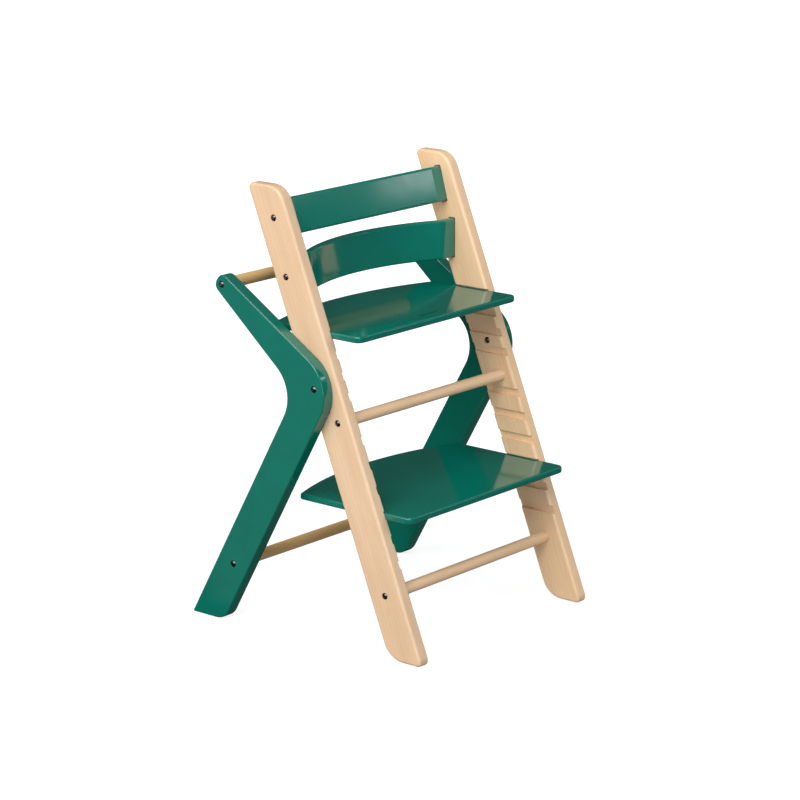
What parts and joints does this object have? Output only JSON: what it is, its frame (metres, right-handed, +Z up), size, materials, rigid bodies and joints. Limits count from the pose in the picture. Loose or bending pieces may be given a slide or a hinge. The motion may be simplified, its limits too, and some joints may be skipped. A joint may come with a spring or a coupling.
{
  "type": "child's growing high chair",
  "caption": "Wooden child's high chair: leaning grooved uprights, elbow-shaped rear legs, bent back slats, sliding seat and footrest boards.",
  "frame": {"origin": "on the floor, under the middle of the chair's width and of its depth from toe to heel", "axes": "+Z up; +X to the seated child's left, across the chair; the child faces -Y"},
  "size_m": [0.5342, 0.512, 0.8],
  "materials": {
    "bare_beech": "clear satin lacquer",
    "green_lacquer": "satin painted",
    "black_steel": "black oxide",
    "zinc_steel": "zinc plated",
    "pin_beech": "unfinished"
  },
  "bodies": {
    "frame": {"left_upright": "bare_beech", "right_upright": "bare_beech", "middle_rung": "bare_beech", "foot_rung": "bare_beech", "rear_top_rung": "bare_beech", "rear_foot_rung": "bare_beech", "left_rear_leg": "green_lacquer", "right_rear_leg": "green_lacquer", "upper_slat": "green_lacquer", "lower_slat": "green_lacquer", "middle_rung_bolts": "black_steel", "foot_rung_bolts": "black_steel", "rear_top_rung_bolts": "black_steel", "rear_foot_rung_bolts": "black_steel", "upper_slat_bolts": "black_steel", "lower_slat_bolts": "black_steel", "elbow_bolts": "black_steel", "elbow_sleeve_nuts": "black_steel", "middle_rung_inserts": "zinc_steel", "foot_rung_inserts": "zinc_steel", "rear_top_rung_inserts": "zinc_steel", "rear_foot_rung_inserts": "zinc_steel", "upper_slat_barrel_nuts": "zinc_steel", "lower_slat_barrel_nuts": "zinc_steel", "locating_pins": "pin_beech"},
    "seat": {"seat_board": "green_lacquer"},
    "footrest": {"footrest_board": "green_lacquer"}
  },
  "joints": [
    {"name": "seat_slide", "type": "slide", "parent": "frame", "child": "seat", "axis": [0, -1, 0], "range_m": [-0.05, 0.115]},
    {"name": "footrest_slide", "type": "slide", "parent": "frame", "child": "footrest", "axis": [0, -1, 0], "range_m": [-0.05, 0.17]}
  ]
}
